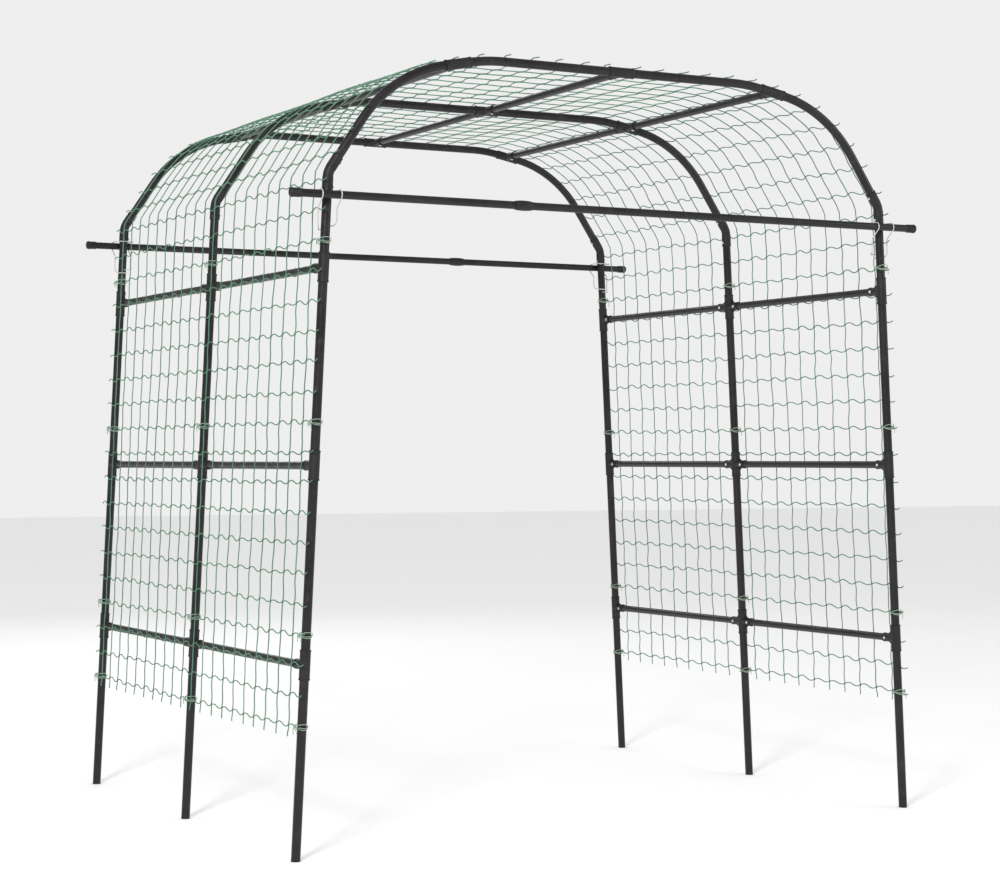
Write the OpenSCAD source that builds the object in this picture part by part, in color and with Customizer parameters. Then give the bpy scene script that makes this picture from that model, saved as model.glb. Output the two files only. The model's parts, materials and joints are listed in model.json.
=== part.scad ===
// Garden arch for climbing plants: three steel hoops joined by rails, with a net over them.
// X runs across the walkway, Y along it from the front hoop to the rear one, Z is up.
// The origin is level with the bottom of the feet, midway between those of the middle hoop.

/* [Hoops] */
// Distance between the axes of the two legs of a hoop, at the elbows
arch_width = 1580; // [1200:10:2000]
// Height of the elbows' bend above the bottom of the feet
leg_height = 1584; // [1300:1:1950]
// Lean of each leg: the feet stand wider apart than the elbows
leg_lean = 2.9; // [0:0.1:4]
// Distance from one hoop to the next
bay_length = 716; // [500:1:1000]
// Slope of the shoulder tube where it leaves the elbow
shoulder_slope = 56; // [50:1:62]
// Slope of the tubes at the corner tee
corner_slope = 11; // [6:1:16]
// Bend radius of the shoulder tube
shoulder_radius = 340; // [250:5:380]
// Straight length of the shoulder tube above the elbow's bend
shoulder_straight = 153; // [100:1:200]
// Bend radius of the roof tube
roof_radius = 450; // [300:10:600]

/* [Tubes] */
// Outer diameter of the hoops' tubes
post_d = 22; // [18:0.5:25]
// Wall of the hoops' tubes
post_wall = 1; // [0.6:0.1:1.6]
// Outer diameter of the rails and crossbars
rail_d = 19; // [14:0.5:20]
// Wall of the rails and crossbars
rail_wall = 0.9; // [0.6:0.1:1.4]

/* [Fittings] */
// Wall of the moulded sockets
socket_wall = 1.8; // [1.5:0.1:2.5]
// Depth of each socket, which is how far a tube goes in
socket_depth = 33; // [25:1:40]
// Play between a tube and its socket, on the radius
socket_play = 0.05; // [0.02:0.01:0.1]
// Thickness of the stop between two tubes in a tee
stop_thickness = 4; // [3:0.5:6]
// Reach of a tee's rail socket, measured from the leg's axis
branch_reach = 48; // [42:1:60]
// Thickness of the ribs between a tee's body and its rail socket
rib_thickness = 5; // [3:0.5:7]
// Radius of the bend inside an elbow
elbow_radius = 40; // [30:1:60]
// Length of a foot plug's stem inside the tube
plug_stem = 25; // [15:1:40]

/* [Rails] */
// Height of the lowest rail
lower_rail_height = 448; // [350:1:550]
// Distance from the highest rail up to the elbow's bend
neck_length = 220; // [180:1:300]

/* [Screws] */
// Shank diameter of the screws
screw_d = 3.8; // [3:0.1:4.5]
// Head diameter of the screws
screw_head_d = 8; // [6:0.5:9]
// Head height of the screws
screw_head_h = 2.2; // [1.5:0.1:3]
// Length of the screws below the head
screw_length = 8; // [6:1:10]

/* [Crossbars] */
// Distance from a crossbar's axis up to the elbow's bend
crossbar_drop = 54; // [48:1:70]
// Length of a crossbar over its end caps
crossbar_length = 1790; // [1700:5:2200]
// Gap between a crossbar and the leg that it lies against
crossbar_gap = 0.4; // [0.3:0.1:1]
// Length of the coupler that joins a crossbar's two tubes
coupler_length = 48; // [40:1:80]
// Distance of the coupler from the middle of its crossbar, to the left on the front one
coupler_shift = 287; // [0:1:350]
// Length of a crossbar's end cap
cap_length = 27; // [20:1:40]
// Wall of an end cap
cap_wall = 1.3; // [1:0.1:2]

/* [Cross clips] */
// Wire diameter of the spring clips
clip_wire_d = 3; // [2.5:0.1:3.5]
// Distance between the two arms of a clip
clip_span = 48; // [44:1:56]
// Gap between a clip's wire and the tubes that it holds
clip_gap = 0.6; // [0.4:0.1:1]
// Distance from the crossbar's axis down to the clip's hooks
clip_drop = 74; // [66:1:90]
// Bend radius of the clip's corners
clip_bend = 6; // [5:0.5:8]
// Bend radius of the clip's hooks
hook_r = 15; // [12:1:16]

/* [Net] */
// Distance between neighbouring strands
net_pitch = 70; // [50:1:100]
// Width and thickness of a strand
net_strand = 2; // [1.5:0.1:3]
// Clearance between the net and the fittings
net_clear = 0.5; // [0.4:0.1:2]
// Length of the cut ends past the last crossing strand
net_tail = 26; // [15:1:35]
// Distance from the crossbars' axis down to the first strand below
net_phase = 35; // [30:1:40]
// Distance from the front hoop to the first strand behind it
net_inset = 43; // [35:1:50]
// Height of the lowest strand's limit: no strand lies lower
net_floor = 300; // [200:10:400]
// Thickness of the twine of the net's ties
tie_d = 1.8; // [1:0.1:2.2]
// Tilt of the two loops that make a tie
tie_tilt = 24; // [18:1:30]

/* [Hidden] */
$fn = 48;
overlap = 0.01;
cut_size = 200;

post_r = post_d / 2;
rail_r = rail_d / 2;
body_r = post_r + socket_play + socket_wall;
branch_r = rail_r + socket_play + socket_wall;
depth = 2 * bay_length;
hoop_y = [-bay_length, 0, bay_length];

// Path of the right half of a hoop, from the foot to the ridge: [length or radius, turn].
// A turn of 0 is a straight of that length, any other is a bend of that radius.
leg_heading = 90 + leg_lean;
leg_length = leg_height / cos(leg_lean);
corner_straight = socket_depth + stop_thickness / 2;
elbow_turn = 180 - shoulder_slope - leg_heading;
shoulder_turn = shoulder_slope - corner_slope;
shoulder_run = shoulder_straight * cos(shoulder_slope) + corner_straight * cos(corner_slope)
    + shoulder_radius * (sin(shoulder_slope) - sin(corner_slope));
corner_x = arch_width / 2 - shoulder_run;
ridge_straight = corner_x - corner_straight * cos(corner_slope) - roof_radius * sin(corner_slope);
foot_x = arch_width / 2 + leg_height * tan(leg_lean);
half_path = [
    [leg_length, 0],
    [0, elbow_turn],
    [shoulder_straight, 0],
    [shoulder_radius, shoulder_turn],
    [2 * corner_straight, 0],
    [roof_radius, corner_slope],
    [ridge_straight, 0]
];

// Length of segment i of the path when the whole path is shifted outward by off
function seg_len(i, off) = half_path[i][1] == 0 ? half_path[i][0]
    : (half_path[i][0] + off) * half_path[i][1] * PI / 180;
// Length of the shifted path up to the start of segment i
function len_to(i, off) = i == 0 ? 0 : len_to(i - 1, off) + seg_len(i - 1, off);
// Pose [x, z, heading] after going a distance s along one segment from pose p
function go_straight(p, s) = [p[0] + s * cos(p[2]), p[1] + s * sin(p[2]), p[2]];
function go_bend(p, r, turn) =
    [p[0] + r * (sin(p[2] + turn) - sin(p[2])), p[1] - r * (cos(p[2] + turn) - cos(p[2])), p[2] + turn];
function go_on(p, i, s, off) = half_path[i][1] == 0 ? go_straight(p, s)
    : go_bend(p, half_path[i][0] + off, half_path[i][1] * (s < seg_len(i, off) ? s / seg_len(i, off) : 1));
// Pose at the start of segment i, and at a distance s along the whole shifted path
foot_pose = [foot_x, 0, leg_heading];
function pose_at(i, off) = i == 0
    ? [foot_x + off * sin(leg_heading), -off * cos(leg_heading), leg_heading]
    : go_on(pose_at(i - 1, off), i - 1, seg_len(i - 1, off), off);
function path_pose(s, off = 0, i = 0) =
    i == len(half_path) - 1 || s < len_to(i + 1, off)
    ? go_on(pose_at(i, off), i, s - len_to(i, off), off)
    : path_pose(s, off, i + 1);

elbow_s = leg_length;
corner_s = len_to(4, 0) + corner_straight;
ridge_s = len_to(len(half_path), 0);

// Three rails up each leg, as distances along the leg
rail_count = 3;
upper_rail_height = leg_height - neck_length;
rail_step = (upper_rail_height - lower_rail_height) / (rail_count - 1);
rail_s = [for (i = [0 : rail_count - 1]) (lower_rail_height + i * rail_step) / cos(leg_lean)];
socket_end = stop_thickness / 2;
body_half = socket_end + socket_depth;

// Elbow
elbow_tangent = elbow_radius * tan(elbow_turn / 2);
elbow_arm = elbow_tangent + socket_depth;
bend_draw = 0.02;
bend_lap = 0.2;
elbow_lap = 2;
bore_step = 1.6;
lip_rise = 0.6;
lip_length = 4;

// Foot plug
plug_flange = 6;
plug_r = post_r - post_wall - socket_play;

// Rail ends and their screws
rail_stop = branch_reach - socket_depth;
rail_length = bay_length - 2 * rail_stop;
rib_rise = 9;
screw_r = screw_d / 2;
screw_play = 0.1;
screw_seat = 0.05;
screw_point = 2;
screw_y = branch_reach - 12;
elbow_screw = 10;

// Crossbars
bar_z = leg_height - crossbar_drop;
bar_offset = post_r + crossbar_gap + rail_r;
post_x = arch_width / 2 + crossbar_drop * tan(leg_lean);
bar_reach = crossbar_length / 2;
cap_floor = 3;
cap_r = rail_r + socket_play + cap_wall;
bar_end = bar_reach - cap_floor;

// Cross clips
wire_r = clip_wire_d / 2;
wire_sides = 10;
bend_step = 15;
loop_r = rail_r + clip_gap + wire_r;
bridge_gap = 2;
bridge_y = bar_offset + body_r + lip_rise + bridge_gap + wire_r;
loop_turn = 140;
tail_y = 15;
hook_yaw = 65;
hook_stagger = 9;

// Net
net_offset = body_r + net_clear + net_strand / 2;
net_top_s = len_to(1, net_offset);
net_corner_s = len_to(4, net_offset);
strand_ref = (bar_z - net_phase) / cos(leg_lean);
side_count = floor((strand_ref - net_floor) / net_pitch);
side_first = strand_ref - side_count * net_pitch;
half_net = len_to(len(half_path), net_offset);
long_count = floor((half_net - side_first - net_strand) / net_pitch);
hoopwise_count = floor((depth - 2 * net_inset) / net_pitch) + 1;
hoopwise_pitch = (depth - 2 * net_inset) / (hoopwise_count - 1);
tie_gap = 0.1;
tie_inner = post_r + tie_gap + tie_d / 2;
tie_outer = net_offset + net_strand / 2 + net_clear + tie_d / 2;
tie_r = (tie_inner + tie_outer) / 2;
tie_shift = (tie_outer - tie_inner) / 2;
tie_room = body_half + 10;

tube_color = [0.23, 0.21, 0.22];
fitting_color = [0.16, 0.15, 0.16];
wire_color = [0.85, 0.85, 0.83];
screw_color = [0.8, 0.8, 0.8];
net_color = [0.35, 0.58, 0.45];
tie_color = [0.78, 0.84, 0.78];

// ---------- placing ----------

// Puts children, made along +Z, at pose p of a hoop: their +Z runs up the path, +X faces outward
module at_pose(p) {
    translate([p[0], 0, p[1]]) rotate([0, 90 - p[2], 0]) children();
}

module on_left() {
    mirror([1, 0, 0]) children();
}

module on_both() {
    children();
    on_left() children();
}

module at_hoop(i) {
    translate([0, hoop_y[i], 0]) children();
}

module at_rear() {
    mirror([0, 1, 0]) children();
}

module turned_round() {
    rotate([0, 0, 180]) children();
}

// ---------- tubes ----------

module pipe(r, wall, length) {
    difference() {
        cylinder(r = r, h = length);
        translate([0, 0, -1]) cylinder(r = r - wall, h = length + 2);
    }
}

// A round bar's bend that starts at the origin along +Z and turns towards -X.
// It goes on by the angle lap at each end, to run into what it joins.
module bend(r, bend_r, turn, lap = 0) {
    translate([-bend_r, 0, 0]) rotate([90, 0, 0]) rotate(-lap) rotate_extrude(angle = turn + 2 * lap)
        translate([bend_r, 0]) circle(r = r);
}

// Round bar around the path's bend i, with a straight of the given length before and after it.
// Bending draws the bar a little thinner, and the bend runs on by a small angle into each straight.
module bent_bar(r, i, before, after) {
    at_pose(path_pose(len_to(i, 0) - before)) cylinder(r = r, h = before);
    at_pose(path_pose(len_to(i, 0))) bend(r - bend_draw, half_path[i][0], half_path[i][1], bend_lap);
    at_pose(path_pose(len_to(i + 1, 0))) cylinder(r = r, h = after);
}
module bent_tube(i, before, after) {
    difference() {
        bent_bar(post_r, i, before, after);
        bent_bar(post_r - post_wall, i, before + 1, after + 1);
    }
}

// Pipe along the straight path between distances s0 and s1
module post_pipe(s0, s1) {
    at_pose(path_pose(s0)) pipe(post_r, post_wall, s1 - s0);
}

// Base, lower, upper and neck tubes of one leg
module leg_tubes() {
    post_pipe(plug_flange, rail_s[0] - socket_end);
    for (i = [1 : rail_count - 1]) post_pipe(rail_s[i - 1] + socket_end, rail_s[i] - socket_end);
    difference() {
        post_pipe(rail_s[rail_count - 1] + socket_end, elbow_s - elbow_tangent);
        elbow_screw_hole(-1);
    }
}

module shoulder_tube() {
    difference() {
        bent_tube(3, shoulder_straight - elbow_tangent, socket_depth);
        elbow_screw_hole(1);
    }
}

module roof_tube() {
    bent_tube(5, socket_depth, ridge_straight - socket_end);
}

module foot_plug() {
    intersection() {
        at_pose(foot_pose) {
            translate([0, 0, -plug_flange]) cylinder(r = post_r, h = 2 * plug_flange);
            cylinder(r = plug_r, h = plug_flange + plug_stem);
        }
        translate([foot_x - cut_size / 2, -cut_size / 2, 0]) cube(cut_size);
    }
}

// ---------- fittings ----------

module socket_lip(r) {
    cylinder(r1 = r + lip_rise, r2 = r, h = lip_length);
}

// Body of a tee along +Z: a sleeve with a socket from each end and a stop between them
module tee_body() {
    translate([0, 0, -body_half]) {
        cylinder(r = body_r, h = 2 * body_half);
        socket_lip(body_r);
    }
    translate([0, 0, body_half]) mirror([0, 0, 1]) socket_lip(body_r);
}

// Bore of a tee's body
module tee_bore() {
    for (side = [0, 1]) mirror([0, 0, side]) translate([0, 0, socket_end])
        cylinder(r = post_r + socket_play, h = socket_depth + 1);
    cylinder(r = post_r - bore_step, h = 3 * stop_thickness, center = true);
}

// Rail socket along +Y with its two ribs
module branch() {
    rotate([-90, 0, 0]) {
        cylinder(r = branch_r, h = branch_reach);
        translate([0, 0, branch_reach]) mirror([0, 0, 1]) socket_lip(branch_r);
    }
    for (side = [0, 1]) mirror([0, 0, side])
        translate([rib_thickness / 2, 0, 0]) rotate([0, -90, 0]) linear_extrude(rib_thickness)
            polygon([[0, 0], [branch_r + rib_rise, 0], [branch_r + rib_rise, body_r],
                [branch_r, body_r + 2 * rib_rise], [0, body_r + 2 * rib_rise]]);
}

module branch_bore() {
    rotate([-90, 0, 0]) translate([0, 0, rail_stop]) cylinder(r = rail_r + socket_play, h = branch_reach);
}

// Hole for a rail's screw, drilled from the inside of the arch
module rail_screw_hole() {
    translate([-branch_r - 1, screw_y, 0]) rotate([0, 90, 0])
        cylinder(r = screw_r + screw_play, h = branch_r);
}

// A tee with a rail socket towards each side listed: 1 for +Y, -1 for -Y
module rail_fitting(sides) {
    difference() {
        union() {
            tee_body();
            for (side = sides) scale_y(side) branch();
        }
        tee_bore();
        for (side = sides) scale_y(side) {
            branch_bore();
            rail_screw_hole();
        }
    }
}

module scale_y(side) {
    mirror([0, side < 0 ? 1 : 0, 0]) children();
}

module leg_fittings(sides) {
    for (s = rail_s) at_pose(path_pose(s)) rail_fitting(sides);
}

module corner_fitting(sides) {
    at_pose(path_pose(corner_s)) rail_fitting(sides);
}

module ridge_fitting(sides) {
    at_pose(path_pose(ridge_s)) rail_fitting(sides);
}

module elbow_bend(r) {
    at_pose(path_pose(elbow_s - elbow_tangent)) bend(r, elbow_radius, elbow_turn, elbow_lap);
}

module elbow_sleeve() {
    cylinder(r = body_r, h = socket_depth);
    socket_lip(body_r);
}

module elbow_socket() {
    translate([0, 0, -1]) cylinder(r = post_r + socket_play, h = socket_depth + 1);
}

// Elbow between the neck tube and the shoulder tube
module elbow() {
    difference() {
        union() {
            elbow_bend(body_r - lip_rise);
            at_elbow_mouths() elbow_sleeve();
        }
        elbow_bend(post_r - bore_step);
        at_elbow_mouths() elbow_socket();
        for (arm = [-1, 1]) elbow_screw_hole(arm);
    }
}

// Both mouths of an elbow, with +Z going into it
module at_elbow_mouths() {
    at_pose(path_pose(elbow_s - elbow_arm)) children();
    at_pose(path_pose(elbow_s + elbow_arm)) mirror([0, 0, 1]) children();
}

// Place of the screw in the elbow's lower (-1) or upper (1) arm, with +X inward along the screw
module at_elbow_screw(arm) {
    s = elbow_s + arm * (elbow_tangent + socket_depth - elbow_screw);
    at_pose(path_pose(s)) mirror([1, 0, 0]) children();
}

module elbow_screw_hole(arm) {
    at_elbow_screw(arm) rotate([0, 90, 0]) cylinder(r = screw_r + screw_play, h = body_r + 1);
}

// ---------- rails ----------

// Two tubes of one rail line: one in each bay, with a pilot hole at each end
module rail_line(p) {
    at_pose(p) for (bay = [-1, 0]) difference() {
        translate([0, bay * bay_length + rail_stop, 0]) rotate([-90, 0, 0])
            pipe(rail_r, rail_wall, rail_length);
        for (end = [screw_y, bay_length - screw_y])
            translate([-rail_r - 1, bay * bay_length + end, 0]) rotate([0, 90, 0])
                cylinder(r = screw_r + screw_play, h = rail_r);
    }
}

// Screw with its head's seat at the origin and its shank along +Z
module screw() {
    rotate_extrude() polygon([[0, -screw_head_h], [screw_head_d / 4, -screw_head_h],
        [screw_head_d / 2, -screw_head_h / 3], [screw_head_d / 2, 0], [screw_r, 0],
        [screw_r, screw_length - screw_point], [0, screw_length]]);
}

module rail_screws(p) {
    at_pose(p) for (bay = [-1, 0], end = [screw_y, bay_length - screw_y])
        translate([-branch_r - screw_seat, bay * bay_length + end, 0]) rotate([0, 90, 0]) screw();
}

module elbow_screws() {
    for (arm = [-1, 1]) at_elbow_screw(arm)
        translate([body_r + screw_seat, 0, 0]) rotate([0, -90, 0]) screw();
}

// ---------- crossbars ----------

module at_bar() {
    translate([0, -bay_length - bar_offset, bar_z]) rotate([0, 90, 0]) children();
}

// A long tube and a short one, pushed into the coupler between them
module crossbar_tubes() {
    at_bar() {
        translate([0, 0, -bar_end]) pipe(rail_r, rail_wall, bar_end - coupler_shift - socket_end);
        translate([0, 0, socket_end - coupler_shift])
            pipe(rail_r, rail_wall, bar_end + coupler_shift - socket_end);
    }
}

module crossbar_coupler() {
    at_bar() translate([0, 0, -coupler_shift]) difference() {
        cylinder(r = branch_r, h = coupler_length, center = true);
        for (side = [0, 1]) mirror([0, 0, side]) translate([0, 0, socket_end])
            cylinder(r = rail_r + socket_play, h = coupler_length);
    }
}

module crossbar_caps() {
    for (side = [0, 1]) mirror([side, 0, 0]) at_bar() difference() {
        rotate_extrude() polygon([[0, bar_reach - cap_length], [cap_r, bar_reach - cap_length],
            [cap_r, bar_reach - cap_floor], [cap_r - cap_floor, bar_reach], [0, bar_reach]]);
        translate([0, 0, bar_reach - cap_length - 1])
            cylinder(r = rail_r + socket_play, h = cap_length - cap_floor + 1 + overlap);
    }
}

// ---------- cross clips ----------

// Points of a bend in the plane of two unit directions, from direction u to direction v
function bend_points(at, u, v, r) = let (
    turn = acos(u * v),
    w = (v - (u * v) * u) / sin(turn),
    steps = ceil(turn / bend_step)
) [for (k = [0 : steps]) let (a = turn * k / steps) at + r * (sin(a) * u + (1 - cos(a)) * w)];

function last(list) = list[len(list) - 1];

// One arm of the clip, from the middle of the bridge behind the leg to the tip of its hook.
// The crossbar's axis is the X axis here, the leg is behind it at +Y and level is the hook's height.
function clip_arm(level) = let (
    half = clip_span / 2,
    down = [0, 0, -1],
    top = loop_r,
    corner = bend_points([half - clip_bend, bridge_y, top], [1, 0, 0], [0, -1, 0], clip_bend),
    loop = [for (a = [0 : bend_step : loop_turn - bend_step / 2]) [half, -loop_r * sin(a), loop_r * cos(a)]],
    leave = [half, -loop_r * sin(loop_turn), loop_r * cos(loop_turn)],
    back = [0, -cos(loop_turn), -sin(loop_turn)],
    knee = leave + back * (tail_y - leave[1]) / back[1],
    tail = bend_points(knee, back, down, clip_bend),
    inward = [-cos(hook_yaw), sin(hook_yaw), 0],
    turn_down = [half, last(tail)[1], level + hook_r],
    hook = bend_points(turn_down, down, inward, hook_r),
    reach = (bridge_y - last(hook)[1] - clip_bend * (1 - sin(hook_yaw))) / sin(hook_yaw),
    swing = bend_points(last(hook) + inward * reach, inward, [-1, 0, 0], clip_bend)
) concat([[0, bridge_y, top]], corner, loop, [leave], tail, hook, swing, [[-post_r / 2, bridge_y, level]]);

// Unit vectors and the frames that a round wire is swept on
function unit(v) = v / norm(v);
function tangent(pts, i) =
    unit(pts[min(i + 1, len(pts) - 1)] - pts[max(i - 1, 0)]);
function flat_to(v, t) = unit(v - (v * t) * t);
function wire_frames(pts, i, n) = i == len(pts) ? []
    : let (t = tangent(pts, i), m = flat_to(n, t)) concat([[t, m]], wire_frames(pts, i + 1, m));

module wire(pts, r) {
    frames = wire_frames(pts, 0, [0, 0.2, 1]);
    count = len(pts);
    rings = [for (i = [0 : count - 1], k = [0 : wire_sides - 1])
        let (m = frames[i][1], b = cross(frames[i][0], m), a = 360 * k / wire_sides)
            pts[i] + r * (cos(a) * m + sin(a) * b)];
    sides = [for (i = [0 : count - 2], k = [0 : wire_sides - 1])
        let (n = (k + 1) % wire_sides, low = i * wire_sides, high = low + wire_sides)
            [low + k, high + k, high + n, low + n]];
    start = [[for (k = [0 : wire_sides - 1]) k]];
    end = [[for (k = [wire_sides - 1 : -1 : 0]) (count - 1) * wire_sides + k]];
    polyhedron(points = rings, faces = concat(sides, start, end));
}

function mirrored(pts) = [for (i = [len(pts) - 1 : -1 : 0]) [-pts[i][0], pts[i][1], pts[i][2]]];

module cross_clip() {
    right_arm = clip_arm(-clip_drop - hook_stagger / 2);
    left_arm = mirrored(clip_arm(-clip_drop + hook_stagger / 2));
    bridge_less = [for (i = [1 : len(right_arm) - 1]) right_arm[i]];
    translate([post_x, -bay_length - bar_offset, bar_z]) wire(concat(left_arm, bridge_less), wire_r);
}

// ---------- net ----------

// Flat outline of one hoopwise strand over the listed spans of the right half of a hoop
module strand_outline(spans) {
    for (i = spans) {
        p = pose_at(i, net_offset);
        r = half_path[i][0] + net_offset;
        translate([p[0], p[1]]) rotate(p[2] - 90)
            if (half_path[i][1] == 0)
                translate([-net_strand / 2, 0]) square([net_strand, half_path[i][0] + overlap]);
            else
                translate([-r, 0]) arc_band(r, half_path[i][1]);
    }
}

module arc_band(r, turn) {
    far = 2 * r;
    intersection() {
        difference() {
            circle(r = r + net_strand / 2, $fn = 96);
            circle(r = r - net_strand / 2, $fn = 96);
        }
        polygon([[0, 0], [far, 0], [far, far * tan(turn)]]);
    }
}

hoopwise_y = [for (i = [0 : hoopwise_count - 1]) net_inset - bay_length + i * hoopwise_pitch];
long_length = depth + 2 * net_tail;

module net_side() {
    at_pose([pose_at(0, net_offset)[0], pose_at(0, net_offset)[1], leg_heading])
        translate([-net_strand / 2, 0, 0]) rotate([90, 0, 90]) linear_extrude(net_strand) {
            for (y = hoopwise_y)
                translate([y - net_strand / 2, side_first - net_tail])
                    square([net_strand, net_top_s - side_first + net_tail]);
            for (k = [0 : long_count]) if (side_first + k * net_pitch < net_top_s)
                translate([-long_length / 2, side_first + k * net_pitch - net_strand / 2])
                    square([long_length, net_strand]);
        }
}

// Stands the flat outline of a strand up at each hoopwise strand's place
module hoopwise_strands() {
    for (y = hoopwise_y) translate([0, y + net_strand / 2, 0]) rotate([90, 0, 0])
        linear_extrude(net_strand) children();
}

module lengthwise_strands(from, to) {
    for (k = [0 : long_count]) let (s = side_first + k * net_pitch) if (s > from && s < to)
        at_pose(path_pose(s, net_offset)) cube([net_strand, long_length, net_strand], center = true);
}

// Net over the elbow and the shoulder tube, up to the corner tee's straight
module net_shoulder() {
    hoopwise_strands() strand_outline([1 : 3]);
    lengthwise_strands(net_top_s, net_corner_s);
}

// Net over the roof, from one corner tee to the other
module net_top() {
    hoopwise_strands() on_both() strand_outline([4 : 6]);
    on_both() lengthwise_strands(net_corner_s, half_net);
}

module tie_loop(tilt, r) {
    rotate([tilt, 0, 0]) rotate_extrude() translate([r, 0]) circle(r = tie_d / 2, $fn = 16);
}

// Two crossed loops of twine, one over the other, that bind a strand of the net to a leg
module net_tie(s) {
    at_pose(path_pose(s)) translate([tie_shift, 0, 0]) {
        tie_loop(-tie_tilt, tie_r);
        tie_loop(tie_tilt, tie_r + tie_d + tie_gap);
    }
}

// A tie on the lowest strand and on the first strand above each tee
module leg_ties() {
    net_tie(side_first);
    for (s = rail_s) net_tie(side_first + net_pitch * ceil((s + tie_room - side_first) / net_pitch));
}

// ---------- sub-parts ----------

module foot_plugs() { color(fitting_color) for (i = [0 : 2]) at_hoop(i) on_both() foot_plug(); }

module leg_tubes_front_left() { color(tube_color) at_hoop(0) on_left() leg_tubes(); }
module leg_tubes_front_right() { color(tube_color) at_hoop(0) leg_tubes(); }
module leg_tubes_middle_left() { color(tube_color) at_hoop(1) on_left() leg_tubes(); }
module leg_tubes_middle_right() { color(tube_color) at_hoop(1) leg_tubes(); }
module leg_tubes_rear_left() { color(tube_color) at_hoop(2) on_left() leg_tubes(); }
module leg_tubes_rear_right() { color(tube_color) at_hoop(2) leg_tubes(); }

module leg_tees_front_left() { color(fitting_color) at_hoop(0) on_left() leg_fittings([1]); }
module leg_tees_front_right() { color(fitting_color) at_hoop(0) leg_fittings([1]); }
module leg_crosses_middle_left() { color(fitting_color) at_hoop(1) on_left() leg_fittings([-1, 1]); }
module leg_crosses_middle_right() { color(fitting_color) at_hoop(1) leg_fittings([-1, 1]); }
module leg_tees_rear_left() { color(fitting_color) at_hoop(2) on_left() leg_fittings([-1]); }
module leg_tees_rear_right() { color(fitting_color) at_hoop(2) leg_fittings([-1]); }

module elbows_front() { color(fitting_color) at_hoop(0) on_both() elbow(); }
module elbows_middle() { color(fitting_color) at_hoop(1) on_both() elbow(); }
module elbows_rear() { color(fitting_color) at_hoop(2) on_both() elbow(); }

module shoulder_tube_front_left() { color(tube_color) at_hoop(0) on_left() shoulder_tube(); }
module shoulder_tube_front_right() { color(tube_color) at_hoop(0) shoulder_tube(); }
module shoulder_tube_middle_left() { color(tube_color) at_hoop(1) on_left() shoulder_tube(); }
module shoulder_tube_middle_right() { color(tube_color) at_hoop(1) shoulder_tube(); }
module shoulder_tube_rear_left() { color(tube_color) at_hoop(2) on_left() shoulder_tube(); }
module shoulder_tube_rear_right() { color(tube_color) at_hoop(2) shoulder_tube(); }

module corner_tee_front_left() { color(fitting_color) at_hoop(0) on_left() corner_fitting([1]); }
module corner_tee_front_right() { color(fitting_color) at_hoop(0) corner_fitting([1]); }
module corner_cross_middle_left() { color(fitting_color) at_hoop(1) on_left() corner_fitting([-1, 1]); }
module corner_cross_middle_right() { color(fitting_color) at_hoop(1) corner_fitting([-1, 1]); }
module corner_tee_rear_left() { color(fitting_color) at_hoop(2) on_left() corner_fitting([-1]); }
module corner_tee_rear_right() { color(fitting_color) at_hoop(2) corner_fitting([-1]); }

module roof_tubes_front() { color(tube_color) at_hoop(0) on_both() roof_tube(); }
module roof_tubes_middle() { color(tube_color) at_hoop(1) on_both() roof_tube(); }
module roof_tubes_rear() { color(tube_color) at_hoop(2) on_both() roof_tube(); }

module ridge_tee_front() { color(fitting_color) at_hoop(0) ridge_fitting([1]); }
module ridge_cross_middle() { color(fitting_color) at_hoop(1) ridge_fitting([-1, 1]); }
module ridge_tee_rear() { color(fitting_color) at_hoop(2) ridge_fitting([-1]); }

module lower_rail_left() { color(tube_color) on_left() rail_line(path_pose(rail_s[0])); }
module middle_rail_left() { color(tube_color) on_left() rail_line(path_pose(rail_s[1])); }
module upper_rail_left() { color(tube_color) on_left() rail_line(path_pose(rail_s[2])); }
module lower_rail_right() { color(tube_color) rail_line(path_pose(rail_s[0])); }
module middle_rail_right() { color(tube_color) rail_line(path_pose(rail_s[1])); }
module upper_rail_right() { color(tube_color) rail_line(path_pose(rail_s[2])); }

module roof_rail_left() { color(tube_color) on_left() rail_line(path_pose(corner_s)); }
module roof_rail_ridge() { color(tube_color) rail_line(path_pose(ridge_s)); }
module roof_rail_right() { color(tube_color) rail_line(path_pose(corner_s)); }

module screws() {
    color(screw_color) {
        on_both() {
            for (s = concat(rail_s, [corner_s])) rail_screws(path_pose(s));
            for (i = [0 : 2]) at_hoop(i) elbow_screws();
        }
        rail_screws(path_pose(ridge_s));
    }
}

module crossbar_tubes_front() { color(tube_color) crossbar_tubes(); }
module crossbar_coupler_front() { color(fitting_color) crossbar_coupler(); }
module crossbar_caps_front() { color(fitting_color) crossbar_caps(); }
module crossbar_tubes_rear() { color(tube_color) turned_round() crossbar_tubes(); }
module crossbar_coupler_rear() { color(fitting_color) turned_round() crossbar_coupler(); }
module crossbar_caps_rear() { color(fitting_color) turned_round() crossbar_caps(); }

module wire_clip_front_left() { color(wire_color) on_left() cross_clip(); }
module wire_clip_front_right() { color(wire_color) cross_clip(); }
module wire_clip_rear_left() { color(wire_color) at_rear() on_left() cross_clip(); }
module wire_clip_rear_right() { color(wire_color) at_rear() cross_clip(); }

module net_left() { color(net_color) on_left() net_side(); }
module net_shoulder_left() { color(net_color) on_left() net_shoulder(); }
module net_roof() { color(net_color) net_top(); }
module net_shoulder_right() { color(net_color) net_shoulder(); }
module net_right() { color(net_color) net_side(); }

module net_ties() { color(tie_color) for (i = [0 : 2]) at_hoop(i) on_both() leg_ties(); }

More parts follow.
